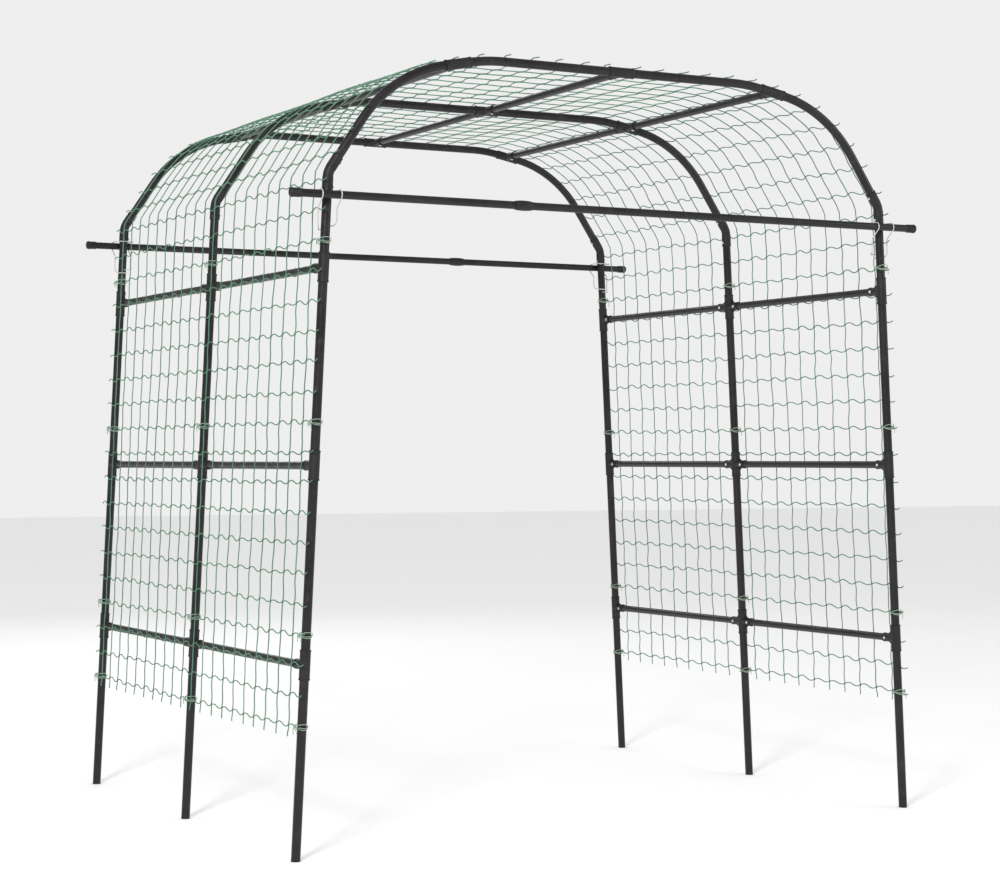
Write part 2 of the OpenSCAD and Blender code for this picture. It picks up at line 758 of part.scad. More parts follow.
foot_plugs();
leg_tubes_front_left();
leg_tubes_front_right();
leg_tubes_middle_left();
leg_tubes_middle_right();
leg_tubes_rear_left();
leg_tubes_rear_right();
leg_tees_front_left();
leg_tees_front_right();
leg_crosses_middle_left();
leg_crosses_middle_right();
leg_tees_rear_left();
leg_tees_rear_right();
elbows_front();
elbows_middle();
elbows_rear();
shoulder_tube_front_left();
shoulder_tube_front_right();
shoulder_tube_middle_left();
shoulder_tube_middle_right();
shoulder_tube_rear_left();
shoulder_tube_rear_right();
corner_tee_front_left();
corner_tee_front_right();
corner_cross_middle_left();
corner_cross_middle_right();
corner_tee_rear_left();
corner_tee_rear_right();
roof_tubes_front();
roof_tubes_middle();
roof_tubes_rear();
ridge_tee_front();
ridge_cross_middle();
ridge_tee_rear();
lower_rail_left();
middle_rail_left();
upper_rail_left();
lower_rail_right();
middle_rail_right();
upper_rail_right();
roof_rail_left();
roof_rail_ridge();
roof_rail_right();
screws();
crossbar_tubes_front();
crossbar_coupler_front();
crossbar_caps_front();
crossbar_tubes_rear();
crossbar_coupler_rear();
crossbar_caps_rear();
wire_clip_front_left();
wire_clip_front_right();
wire_clip_rear_left();
wire_clip_rear_right();
net_left();
net_shoulder_left();
net_roof();
net_shoulder_right();
net_right();
net_ties();
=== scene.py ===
import json
import math
import random

import bpy
from mathutils import Matrix, Vector


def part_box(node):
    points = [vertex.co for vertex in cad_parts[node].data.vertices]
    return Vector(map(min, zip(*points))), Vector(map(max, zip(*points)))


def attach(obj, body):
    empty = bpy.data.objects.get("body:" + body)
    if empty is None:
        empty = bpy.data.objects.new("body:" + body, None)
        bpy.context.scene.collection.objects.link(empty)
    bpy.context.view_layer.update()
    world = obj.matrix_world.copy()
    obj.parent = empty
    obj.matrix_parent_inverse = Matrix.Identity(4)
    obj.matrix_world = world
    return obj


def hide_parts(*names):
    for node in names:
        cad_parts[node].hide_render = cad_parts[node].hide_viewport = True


# The arch comes as its frame: tubes, moulded fittings, rails, crossbars, clips and net.
# All places below are in metres, in that frame: X across the walkway, Y along it, Z up.
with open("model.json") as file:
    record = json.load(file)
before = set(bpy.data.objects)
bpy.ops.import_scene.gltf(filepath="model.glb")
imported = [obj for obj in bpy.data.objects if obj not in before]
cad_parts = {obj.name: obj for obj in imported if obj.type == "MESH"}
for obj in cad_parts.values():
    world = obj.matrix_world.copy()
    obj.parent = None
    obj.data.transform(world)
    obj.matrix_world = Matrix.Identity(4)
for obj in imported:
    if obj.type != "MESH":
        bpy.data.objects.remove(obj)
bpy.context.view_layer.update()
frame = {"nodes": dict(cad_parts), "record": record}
scene = bpy.context.scene


# ---------- camera ----------
# It stands in front and to the left, a little below the height of a walker's shoulders,
# and looks level into the walkway from about six metres away.
camera = bpy.data.objects.new("camera", bpy.data.cameras.new("camera"))
scene.collection.objects.link(camera)
camera.location = (-2.946, -5.577, 0.920)
camera.rotation_euler = (math.radians(90.385), 0, math.radians(-28.2))
camera.data.sensor_width = 36
camera.data.lens = 82.74
scene.camera = camera


# ---------- steel tubes ----------
# Thin-walled steel tube, 22 mm in the hoops and 19 mm in the rails and crossbars, bent cold.
# Its brown-black coating is satin, a little uneven, with fine grain and faint dust.
class Level:
    """A number that varies over a surface. Arithmetic on it adds Math nodes."""

    def __init__(self, finish, socket):
        self.finish = finish
        self.socket = socket

    def maths(self, operation, *terms):
        return self.finish.add("ShaderNodeMath", {"operation": operation}, dict(enumerate(terms)))

    def __add__(self, other):
        return self.maths("ADD", self, other)

    def __radd__(self, other):
        return self.maths("ADD", other, self)

    def __mul__(self, other):
        return self.maths("MULTIPLY", self, other)

    def __rmul__(self, other):
        return self.maths("MULTIPLY", other, self)

    def between(self, low, high):
        """0 below low, 1 above high and a smooth rise between them."""
        inputs = {"Value": self, "From Min": low, "From Max": high}
        return self.finish.add("ShaderNodeMapRange", {"interpolation_type": "SMOOTHSTEP"}, inputs)


class Finish:
    """A material for one finish of the arch, made of nodes."""

    def __init__(self, name, **constants):
        self.material = bpy.data.materials.new(name)
        self.material.use_nodes = True
        self.tree = self.material.node_tree
        self.surface = self.tree.nodes["Principled BSDF"]
        for socket, value in constants.items():
            self.surface.inputs[socket.replace("_", " ")].default_value = value
        self.place = self.add("ShaderNodeTexCoord", {}, {}, "Object")

    def add(self, kind, settings, inputs, output=0):
        node = self.tree.nodes.new(kind)
        for key, value in settings.items():
            setattr(node, key, value)
        for key, value in inputs.items():
            self.fill(node.inputs[key], value)
        return Level(self, node.outputs[output])

    def fill(self, socket, value):
        if isinstance(value, Level):
            self.tree.links.new(value.socket, socket)
        else:
            socket.default_value = value

    def noise(self, scale, detail=2.0):
        inputs = {"Vector": self.place, "Scale": scale, "Detail": detail}
        return self.add("ShaderNodeTexNoise", {}, inputs)

    def mixed(self, share, first, second):
        """Colour from first to second as share goes from 0 to 1."""
        colours = [c if isinstance(c, Level) else (*c, 1) for c in (first, second)]
        inputs = {0: share, 6: colours[0], 7: colours[1]}
        return self.add("ShaderNodeMix", {"data_type": "RGBA"}, inputs, 2)

    def show(self, colour, roughness, height, depth):
        """Links the colour, the roughness and a bump of that depth in metres."""
        self.fill(self.surface.inputs["Base Color"], colour)
        self.fill(self.surface.inputs["Roughness"], roughness)
        bump = self.add("ShaderNodeBump", {}, {"Height": height, "Distance": depth, "Strength": 1.0})
        self.fill(self.surface.inputs["Normal"], bump)
        return self.material


def tube_finish():
    made = Finish("tube_paint", Specular_IOR_Level=0.30)
    cloud = made.noise(7, 3).between(0.35, 0.65)
    mottle = made.noise(90, 3)
    grain = made.noise(1400, 2)
    dust = made.noise(38, 5).between(0.56, 0.72)
    base = made.mixed(cloud, (0.011, 0.0098, 0.0108), (0.017, 0.0150, 0.0166))
    worn = made.mixed(mottle.between(0.45, 0.8) * 0.4, base, (0.030, 0.026, 0.028))
    dusty = made.mixed(dust * 0.08, worn, (0.12, 0.11, 0.105))
    roughness = 0.27 + cloud * 0.05 + mottle * 0.05 + dust * 0.12
    return made.show(dusty, roughness, grain * 0.7 + mottle * 0.3, 0.00012)


TUBE_PAINT = tube_finish()


def coat(piece, material):
    """Gives a piece or a node of the frame its finish."""
    if not piece.material_slots:
        piece.data.materials.append(material)
    for slot in piece.material_slots:
        slot.material = material


for name, node in frame["nodes"].items():
    if "tube" in name or "rail" in name:
        coat(node, TUBE_PAINT)


# ---------- foot plugs and elbows ----------
# Moulded plastic, nearly black, with the fine matt grain of its mould and faint flow marks.
# A plug closes each leg at the ground, an elbow holds the leg and the shoulder tube by two screws.
def fitting_finish():
    made = Finish("fitting", Specular_IOR_Level=0.32)
    flow = made.noise(45, 4)
    grain = made.noise(2200, 2)
    scuff = made.noise(160, 6).between(0.6, 0.75)
    base = made.mixed(flow.between(0.3, 0.7), (0.012, 0.011, 0.012), (0.019, 0.017, 0.018))
    scuffed = made.mixed(scuff * 0.2, base, (0.06, 0.056, 0.056))
    return made.show(scuffed, 0.44 + flow * 0.12 + scuff * 0.1, grain, 0.00010)


FITTING = fitting_finish()
for name, node in frame["nodes"].items():
    if name == "foot_plugs" or name.startswith("elbows"):
        coat(node, FITTING)


# ---------- tees and crosses ----------
# Each is one moulding: a sleeve for the hoop's tubes and a socket for one rail or two,
# with a web that flares above and below the socket. A tube goes in up to the inner stop.
POST_BORE = 0.01105
RAIL_BORE = 0.00955
SLEEVE_R = 0.01275
SOCKET_R = 0.01125
COLLAR_RISE = 0.0008
COLLAR_LENGTH = 0.0045
COLLAR_SOFT = 0.0007
SLEEVE_HALF = 0.035
SOCKET_REACH = 0.048
STOP_HALF = 0.002
SOCKET_STOP = 0.015
WEB_THICK = 0.0052
WEB_REACH = 0.034
WEB_HEIGHT = 0.056
WEB_TIP = (0.8, 1, 0.32)
MOULD_GRID = 0.0009
MOULD_SMOOTHING = 10
MOULD_FACES_KEPT = 0.2
OVERCUT = 0.01
ROUND = 48


def deselected():
    bpy.ops.object.select_all(action="DESELECT")


def turned(name, profile, sides=ROUND):
    """A closed shape turned about Z, from a profile of heights and radii."""
    deselected()
    height, radius = profile[0]
    bpy.ops.mesh.primitive_circle_add(vertices=sides, radius=radius, fill_type="NGON")
    piece = bpy.context.object
    piece.name = name
    bpy.ops.object.mode_set(mode="EDIT")
    bpy.ops.transform.translate(value=(0, 0, height))
    for next_height, next_radius in profile[1:]:
        bpy.ops.mesh.extrude_region_move(TRANSFORM_OT_translate={"value": (0, 0, next_height - height)})
        share = next_radius / radius
        bpy.ops.transform.resize(value=(share, share, 1), center_override=(0, 0, next_height))
        height, radius = next_height, next_radius
    bpy.ops.mesh.select_all(action="SELECT")
    bpy.ops.mesh.normals_make_consistent(inside=False)
    bpy.ops.object.mode_set(mode="OBJECT")
    return piece


def modified(piece, kind, **settings):
    """Adds a modifier to the piece and applies it."""
    deselected()
    piece.select_set(True)
    bpy.context.view_layer.objects.active = piece
    modifier = piece.modifiers.new(kind.lower(), kind)
    for key, value in settings.items():
        setattr(modifier, key, value)
    bpy.ops.object.modifier_apply(modifier=modifier.name)
    return piece


def cut(piece, operation, tool):
    """Joins the tool to the piece or takes it away, and removes the tool."""
    modified(piece, "BOOLEAN", operation=operation, solver="EXACT", object=tool)
    bpy.data.objects.remove(tool)
    return piece


def moved(piece, matrix):
    piece.data.transform(matrix)
    return piece


def joined(pieces, name):
    deselected()
    for piece in pieces:
        piece.select_set(True)
    bpy.context.view_layer.objects.active = pieces[0]
    if len(pieces) > 1:
        bpy.ops.object.join()
    pieces[0].name = name
    return pieces[0]


def smoothed(piece, angle=40):
    deselected()
    piece.select_set(True)
    bpy.context.view_layer.objects.active = piece
    bpy.ops.object.shade_smooth_by_angle(angle=math.radians(angle))
    return piece


def towards(side):
    """Turns a shape made along +Z so that it points along +Y or -Y."""
    return Matrix.Rotation(-side * math.pi / 2, 4, "X")


def web(side):
    """The flared plate between the sleeve and one rail socket."""
    deselected()
    bpy.ops.mesh.primitive_cube_add(size=1, location=(0, 0, 0))
    plate = bpy.context.object
    moved(plate, Matrix.Diagonal((WEB_THICK, WEB_REACH, WEB_HEIGHT, 1)))
    moved(plate, Matrix.Translation((0, side * WEB_REACH / 2, 0)))
    bpy.ops.object.mode_set(mode="EDIT")
    bpy.ops.mesh.select_all(action="DESELECT")
    bpy.ops.object.mode_set(mode="OBJECT")
    for vertex in plate.data.vertices:
        vertex.select = side * vertex.co.y > WEB_REACH / 2
    bpy.ops.object.mode_set(mode="EDIT")
    bpy.ops.transform.resize(value=WEB_TIP, center_override=(0, side * WEB_REACH, 0))
    bpy.ops.object.mode_set(mode="OBJECT")
    return plate


def collar(radius, start, end):
    """The thicker rim at the mouth of a sleeve or socket."""
    low, high = min(start, end), max(start, end)
    outer = radius + COLLAR_RISE
    lip = outer - COLLAR_SOFT
    inner_low, inner_high = low + COLLAR_SOFT, high - COLLAR_SOFT
    return turned("collar", [(low, lip), (inner_low, outer), (inner_high, outer), (high, lip)])


def moulded(name, sides):
    """A tee or cross about the origin, with its sleeve along Z and a rail socket to each side."""
    parts = [turned("sleeve", [(-SLEEVE_HALF, SLEEVE_R), (SLEEVE_HALF, SLEEVE_R)])]
    for side in sides:
        parts.append(moved(turned("socket", [(0, SOCKET_R), (SOCKET_REACH, SOCKET_R)]), towards(side)))
        parts.append(web(side))
    piece = joined(parts, name)
    modified(piece, "REMESH", mode="VOXEL", voxel_size=MOULD_GRID)
    modified(piece, "SMOOTH", factor=0.5, iterations=MOULD_SMOOTHING)
    modified(piece, "DECIMATE", ratio=MOULD_FACES_KEPT)
    for end in (-1, 1):
        cut(piece, "UNION", collar(SLEEVE_R, end * SLEEVE_HALF, end * (SLEEVE_HALF - COLLAR_LENGTH)))
        bore = turned("bore", [(STOP_HALF, POST_BORE), (SLEEVE_HALF + OVERCUT, POST_BORE)])
        cut(piece, "DIFFERENCE", moved(bore, Matrix.Rotation(math.pi / 2 * (1 - end), 4, "X")))
    for side in sides:
        rim = collar(SOCKET_R, SOCKET_REACH - COLLAR_LENGTH, SOCKET_REACH)
        cut(piece, "UNION", moved(rim, towards(side)))
        bore = turned("bore", [(SOCKET_STOP, RAIL_BORE), (SOCKET_REACH + OVERCUT, RAIL_BORE)])
        cut(piece, "DIFFERENCE", moved(bore, towards(side)))
    coat(piece, FITTING)
    return smoothed(piece)


def copies(source, name, places):
    """One piece made of a copy of the source at each place."""
    made = []
    for place in places:
        copy = source.copy()
        copy.data = source.data.copy()
        scene.collection.objects.link(copy)
        made.append(moved(copy, place))
    return joined(made, name)


def middle(node):
    low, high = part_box(node)
    return (low + high) / 2


def on_hoop(point, heading):
    """Place of a shape whose Z runs up a hoop's tube, in the plane of that hoop."""
    return Matrix.Translation(point) @ Matrix.Rotation(math.pi / 2 - heading, 4, "Y")


HOOPS = {place: middle(f"leg_tubes_{place}_left").y for place in ("front", "middle", "rear")}
LEG_RAILS = ("lower_rail", "middle_rail", "upper_rail")
ROOF_SLOPE = math.radians(11)
rise = middle("upper_rail_right") - middle("lower_rail_right")
LEG_HEADING = math.atan2(rise.z, rise.x)

tee = moulded("tee", [1])
cross = moulded("cross", [-1, 1])
FACING = {"front": (tee, Matrix.Identity(4)), "middle": (cross, Matrix.Identity(4)),
          "rear": (tee, Matrix.Rotation(math.pi, 4, "Z"))}


def fitted(node, place, points, heading):
    """Replaces one fitting node of a hoop by the moulded piece at each point."""
    source, turn = FACING[place]
    spots = [on_hoop((p.x, HOOPS[place], p.z), heading) @ turn for p in points]
    piece = copies(source, f"{node}_moulded", spots)
    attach(piece, "frame")
    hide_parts(node)


for place in HOOPS:
    kind = "cross" if place == "middle" else "tee"
    plural = "crosses" if place == "middle" else "tees"
    for side, sign in (("left", -1), ("right", 1)):
        leg_points = [middle(f"{rail}_{side}") for rail in LEG_RAILS]
        heading = LEG_HEADING if sign > 0 else math.pi - LEG_HEADING
        fitted(f"leg_{plural}_{place}_{side}", place, leg_points, heading)
        fitted(f"corner_{kind}_{place}_{side}", place, [middle(f"roof_rail_{side}")],
               math.pi - ROOF_SLOPE if sign > 0 else ROOF_SLOPE)
    fitted(f"ridge_{kind}_{place}", place, [middle("roof_rail_ridge")], math.pi)
for source in (tee, cross):
    bpy.data.objects.remove(source)


# ---------- screws ----------
# Zinc-plated self-tapping screws with a rounded head and a cross recess.
# One holds each rail end in its socket, two hold each elbow, all driven from inside the arch.
SCREW_SEAT = 0.01140
SCREW_REACH = 0.036
ELBOW_SEAT = 0.01290
ELBOW_POINT = Vector((0.790, 0, 1.584))
ELBOW_SCREW = 0.0341
SHOULDER_HEADING = math.radians(124)
RECESS = (0.0042, 0.0009, 0.003)
RECESS_CENTRE = -0.0025


def screw_finish():
    made = Finish("zinc", Metallic=1.0)
    haze = made.noise(500, 3)
    base = made.mixed(haze, (0.66, 0.66, 0.67), (0.84, 0.84, 0.83))
    return made.show(base, 0.24 + haze * 0.2, made.noise(3000, 2), 0.00004)


ZINC = screw_finish()
screw = turned("screw", [(0.0075, 0.0004), (0.0058, 0.0018), (0, 0.0018), (0, 0.0039), (-0.0006, 0.0040),
                         (-0.0014, 0.0034), (-0.0020, 0.0023), (-0.0022, 0.0010)], 24)
for turn in (0, math.pi / 2):
    deselected()
    bpy.ops.mesh.primitive_cube_add(size=1)
    slit = moved(bpy.context.object, Matrix.Diagonal((*RECESS, 1)))
    moved(slit, Matrix.Translation((0, 0, RECESS_CENTRE)) @ Matrix.Rotation(turn, 4, "Z"))
    cut(screw, "DIFFERENCE", slit)
coat(screw, ZINC)
smoothed(screw)


def driven(point, heading, sign, seat, along):
    """Place of a screw on the walkway side of a tube, with its head down on its seat."""
    face = Matrix.Rotation(sign * math.pi / 2, 4, "Y")
    return on_hoop(point, heading) @ Matrix.Translation((-sign * seat, along, 0)) @ face


rails = [(f"{rail}_{side}", LEG_HEADING if side == "right" else math.pi - LEG_HEADING, sign)
         for rail in LEG_RAILS for side, sign in (("left", -1), ("right", 1))]
rails += [("roof_rail_left", ROOF_SLOPE, -1), ("roof_rail_ridge", math.pi, 1),
          ("roof_rail_right", math.pi - ROOF_SLOPE, 1)]
spots = []
for rail, heading, sign in rails:
    centre = middle(rail)
    for y, ways in ((HOOPS["front"], [1]), (HOOPS["middle"], [-1, 1]), (HOOPS["rear"], [-1])):
        for way in ways:
            spots.append(driven((centre.x, y, centre.z), heading, sign, SCREW_SEAT, way * SCREW_REACH))
for y in HOOPS.values():
    for sign in (-1, 1):
        for heading, way in ((LEG_HEADING, -1), (SHOULDER_HEADING, 1)):
            point = ELBOW_POINT + Vector((math.cos(heading), 0, math.sin(heading))) * way * ELBOW_SCREW
            turn = heading if sign > 0 else math.pi - heading
            spots.append(driven((sign * point.x, y, point.z), turn, sign, ELBOW_SEAT, 0))
heads = copies(screw, "screws_driven", spots)
bpy.data.objects.remove(screw)
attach(heads, "frame")
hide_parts("screws")


# ---------- crossbars ----------
# Two rail tubes pushed into a moulded coupler, with a moulded cap on each end.
# The coupler bulges like a barrel; the cap is a sleeve with a ring and a rounded end.
COUPLER = [(-0.024, 0.0100), (-0.0235, 0.0107), (-0.0205, 0.0108), (-0.020, 0.0112), (-0.014, 0.0119),
           (-0.006, 0.0124), (0.006, 0.0124), (0.014, 0.0119), (0.020, 0.0112), (0.0205, 0.0108),
           (0.0235, 0.0107), (0.024, 0.0100)]
CAP = [(0, 0.0103), (0.0005, 0.0108), (0.0195, 0.0109), (0.0200, 0.0115), (0.0228, 0.0115),
       (0.0233, 0.0108), (0.0250, 0.0102), (0.0263, 0.0086), (0.0269, 0.0060), (0.0270, 0.0025)]
CAP_FLOOR = 0.003
COUPLER_OVERCUT = 0.030
CAP_OVERCUT = 0.001
ALONG_X = Matrix.Rotation(math.pi / 2, 4, "Y")


def hollow(piece, start, end):
    """Bores the hole that a rail tube goes into."""
    return cut(piece, "DIFFERENCE", turned("bore", [(start, RAIL_BORE), (end, RAIL_BORE)]))


coupler = turned("coupler", COUPLER)
hollow(coupler, STOP_HALF, COUPLER_OVERCUT)
hollow(coupler, -COUPLER_OVERCUT, -STOP_HALF)
cap = hollow(turned("cap", CAP), -CAP_OVERCUT, CAP[-1][0] - CAP_FLOOR)
for piece in (coupler, cap):
    coat(piece, FITTING)
    smoothed(piece, 50)
for place in ("front", "rear"):
    body = f"crossbar_{place}"
    centre = middle(f"crossbar_coupler_{place}")
    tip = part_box(f"crossbar_caps_{place}")[1].x
    made = copies(coupler, f"coupler_{place}", [Matrix.Translation(centre) @ ALONG_X])
    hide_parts(f"crossbar_coupler_{place}")
    ends = []
    for turn, sign in ((0, 1), (math.pi, -1)):
        mouth = Matrix.Translation((sign * (tip - CAP[-1][0]), centre.y, centre.z))
        ends.append(mouth @ Matrix.Rotation(turn, 4, "Z") @ ALONG_X)
    capped = copies(cap, f"end_caps_{place}", ends)
    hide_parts(f"crossbar_caps_{place}")
    for piece in (made, capped):
        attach(piece, body)
for source in (coupler, cap):
    bpy.data.objects.remove(source)


# ---------- cross clips ----------
# One length of coated spring wire, bent over the crossbar and round behind the leg.
# Its two arms hook past each other under the bar, and its off-white coat is rubbed in places.
WIRE_MERGE = 0.00001


def clip_finish():
    made = Finish("clip_wire", Metallic=0.35, Specular_IOR_Level=0.6)
    rub = made.noise(260, 5).between(0.52, 0.68)
    soft = made.noise(60, 3)
    base = made.mixed(soft, (0.52, 0.51, 0.49), (0.64, 0.63, 0.60))
    rubbed = made.mixed(rub * 0.35, base, (0.30, 0.29, 0.28))
    return made.show(rubbed, 0.28 + soft * 0.12 + rub * 0.15, made.noise(1800, 2), 0.00005)


CLIP_WIRE = clip_finish()
for place in ("front", "rear"):
    for side in ("left", "right"):
        node = frame["nodes"][f"wire_clip_{place}_{side}"]
        clip = bpy.data.objects.new(f"spring_clip_{place}_{side}", node.data.copy())
        scene.collection.objects.link(clip)
        deselected()
        clip.select_set(True)
        bpy.context.view_layer.objects.active = clip
        bpy.ops.object.mode_set(mode="EDIT")
        bpy.ops.mesh.select_all(action="SELECT")
        bpy.ops.mesh.remove_doubles(threshold=WIRE_MERGE)
        bpy.ops.mesh.tris_convert_to_quads()
        bpy.ops.object.mode_set(mode="OBJECT")
        modified(clip, "SUBSURF", levels=1, render_levels=1)
        bpy.ops.object.shade_smooth()
        coat(clip, CLIP_WIRE)
        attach(clip, f"clip_{place}_{side}")
        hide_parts(node.name)


# ---------- net ----------
# Knotted net of green polymer twine with a 70 mm mesh, laid over the hoops in one sheet.
# The strands that run along the walkway wave between the knots, the others hang nearly straight.
PITCH = 0.070
TWINE_R = 0.0014
NET_OUT = 0.01435
FIRST_STRAND = 0.3069
TAIL = 0.026
END_STRAND = 0.673
CROSSING_COUNT = 20
KNOT_STRAY_UP = 0.0022
KNOT_STRAY_ALONG = 0.0020
KNOT_REACH = 0.0026
TAIL_DROOP = (-0.007, 0.004)
TAIL_SHORTFALL = 0.008
TAIL_STRAY = 0.005
WAVE_SWING = (0.0028, 0.0058)
STRAND_BOW = (0.0008, 0.0030)
FOOT_X = abs(frame["record"]["mounts"][0]["pos_m"][0])
LEG_LENGTH = ELBOW_POINT.z / math.sin(LEG_HEADING)
HALF_HOOP = [(LEG_LENGTH, 0, 0), (0, 0, math.radians(31.1)), (0.153, 0, 0), (0, 0.340, math.radians(45)),
             (0.070, 0, 0), (0, 0.450, ROOF_SLOPE), (1, 0, 0)]


def up_hoop(distance, outward):
    """Point (x, z) and heading at a distance up the right half of a hoop's line moved outward."""
    heading = LEG_HEADING
    x = FOOT_X + outward * math.sin(heading)
    z = -outward * math.cos(heading)
    for length, radius, turn in HALF_HOOP:
        bend = radius + outward
        step = min(distance, bend * turn if turn else length)
        if turn:
            after = heading + step / bend
            x += bend * (math.sin(after) - math.sin(heading))
            z -= bend * (math.cos(after) - math.cos(heading))
            heading = after
        else:
            x += step * math.cos(heading)
            z += step * math.sin(heading)
        distance -= step
        if distance <= 0:
            break
    return x, z, heading


def half_net_length():
    """Distance up the net's line from the foot to the ridge."""
    low, high = 2.0, 4.0
    while high - low > 1e-6:
        centre = (low + high) / 2
        low, high = (centre, high) if up_hoop(centre, NET_OUT)[0] > 0 else (low, centre)
    return low


HALF_NET = half_net_length()
CORNER_LENGTH = (LEG_LENGTH + NET_OUT * HALF_HOOP[1][2] + HALF_HOOP[2][0]
                 + (HALF_HOOP[3][1] + NET_OUT) * HALF_HOOP[3][2])


def on_net(distance, y, lift):
    """Point of the net at a distance over the arch from its right foot, lifted off its line."""
    sign = 1 if distance <= HALF_NET else -1
    x, z, heading = up_hoop(distance if sign > 0 else 2 * HALF_NET - distance, NET_OUT)
    return Vector((sign * (x + lift * math.sin(heading)), y, z - lift * math.cos(heading)))


def net_finish():
    made = Finish("net_twine", Specular_IOR_Level=0.5)
    tone = made.noise(5, 3)
    fleck = made.noise(140, 4)
    wave = made.add("ShaderNodeTexWave", {"bands_direction": "DIAGONAL"},
                    {"Vector": made.place, "Scale": 130, "Distortion": 1.5, "Detail": 1.0}, 1)
    base = made.mixed(tone.between(0.3, 0.7), (0.060, 0.185, 0.112), (0.105, 0.255, 0.165))
    # Darker diagonal bands along the twist are painted shade of the twine's twist, laid over the same
    # bands in its bump.
    twist_painted_shade = made.mixed(wave * 0.4, base, (0.032, 0.110, 0.070))
    faded = made.mixed(fleck.between(0.55, 0.75) * 0.25, twist_painted_shade, (0.22, 0.36, 0.27))
    return made.show(faded, 0.42 + fleck * 0.15, wave, 0.0003)


NET_TWINE = net_finish()
draw = random.Random(7)
CROSSING_PITCH = 2 * END_STRAND / (CROSSING_COUNT - 1)
CROSSINGS = [i * CROSSING_PITCH - END_STRAND for i in range(CROSSING_COUNT)]
LONG_STRANDS = []
while FIRST_STRAND + len(LONG_STRANDS) * PITCH < HALF_NET - 0.002:
    LONG_STRANDS.append(FIRST_STRAND + len(LONG_STRANDS) * PITCH)
LONG_STRANDS += [2 * HALF_NET - s for s in reversed(LONG_STRANDS)]


def slack(distance, y):
    """How far the net stands off its line: it lies on the hoops and rides up or sags between them."""
    bay = abs(math.sin(math.pi * y / HOOPS["rear"]))
    ripple = math.sin(9.1 * distance + 4.0 * y) + math.sin(5.3 * distance - 11.0 * y + 1.3)
    return bay * (0.0012 * ripple + 0.0008)


KNOTS = {}
for i, s in enumerate(LONG_STRANDS):
    for j, y in enumerate(CROSSINGS):
        KNOTS[i, j] = (s + draw.uniform(-KNOT_STRAY_UP, KNOT_STRAY_UP),
                       y + draw.uniform(-KNOT_STRAY_ALONG, KNOT_STRAY_ALONG))


def strand(curve, points, radii=None):
    """One length of twine through the points, with its thickness as a share at each."""
    spline = curve.splines.new("POLY")
    spline.points.add(len(points) - 1)
    for k, point in enumerate(points):
        spline.points[k].co = (*point, 1)
        spline.points[k].radius = radii[k] if radii else 1


def long_strand(curve, i):
    """A strand along the walkway: one wave from each knot to the next, and a loose tail at both ends."""
    edge = abs(HOOPS["rear"]) + TAIL
    knots = [KNOTS[i, j] for j in range(CROSSING_COUNT)]
    droop = [draw.uniform(*TAIL_DROOP) for _ in (0, 1)]
    knots.insert(0, (knots[0][0] + droop[0], -edge + draw.uniform(0, TAIL_SHORTFALL)))
    knots.append((knots[-1][0] + droop[1], edge - draw.uniform(0, TAIL_SHORTFALL)))
    points = []
    steps = 8
    for j in range(len(knots) - 1):
        (s0, y0), (s1, y1) = knots[j], knots[j + 1]
        swing = draw.uniform(*WAVE_SWING) * (-1 if i < len(LONG_STRANDS) / 2 else 1)
        for k in range(steps):
            t = k / steps
            s = s0 + (s1 - s0) * t + swing * math.sin(2 * math.pi * t)
            y = y0 + (y1 - y0) * t
            points.append(on_net(s, y, slack(s, y)))
    points.append(on_net(knots[-1][0], knots[-1][1], 0))
    strand(curve, points)


def cross_strand(curve, j, first, last):
    """A strand up and over the arch: nearly straight, with a small kink at each knot."""
    knots = [KNOTS[i, j] for i in range(first, last + 1)]
    if first == 0:
        knots.insert(0, (LONG_STRANDS[0] - TAIL, knots[0][1] + draw.uniform(-TAIL_STRAY, TAIL_STRAY)))
    if last == len(LONG_STRANDS) - 1:
        knots.append((LONG_STRANDS[-1] + TAIL, knots[-1][1] + draw.uniform(-TAIL_STRAY, TAIL_STRAY)))
    points = []
    steps = 6
    for i in range(len(knots) - 1):
        (s0, y0), (s1, y1) = knots[i], knots[i + 1]
        bow = draw.uniform(*STRAND_BOW) * (1 if i % 3 else -0.6)
        for k in range(steps):
            t = k / steps
            s = s0 + (s1 - s0) * t
            y = y0 + (y1 - y0) * t + bow * math.sin(2 * math.pi * t)
            points.append(on_net(s, y, slack(s, y)))
    points.append(on_net(*knots[-1], slack(*knots[-1])))
    strand(curve, points)


def knot(curve, i, j):
    """A small lump of twine pulled tight over the crossing, askew."""
    s, y = KNOTS[i, j]
    lean = draw.uniform(0.4, 1.1)
    points = []
    for share in (-1, -0.45, 0.45, 1):
        ds, dy = KNOT_REACH * share * math.sin(lean), KNOT_REACH * share * math.cos(lean)
        points.append(on_net(s + ds, y + dy, slack(s, y) + 0.0003))
    strand(curve, points, [0.7, 1.75, 1.75, 0.7])


def netting(name, first, last, joins_next):
    """The net's strands and knots from one long strand to another."""
    curve = bpy.data.curves.new(name, "CURVE")
    curve.dimensions = "3D"
    curve.bevel_depth = TWINE_R
    curve.bevel_resolution = 1
    curve.use_fill_caps = True
    for i in range(first, last + 1):
        long_strand(curve, i)
    for j in range(CROSSING_COUNT):
        cross_strand(curve, j, first, last + joins_next)
        for i in range(first, last + 1):
            knot(curve, i, j)
    piece = bpy.data.objects.new(name, curve)
    scene.collection.objects.link(piece)
    deselected()
    piece.select_set(True)
    bpy.context.view_layer.objects.active = piece
    bpy.ops.object.convert(target="MESH")
    piece = bpy.context.object
    bpy.ops.object.shade_smooth()
    coat(piece, NET_TWINE)
    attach(piece, "frame")
    return piece


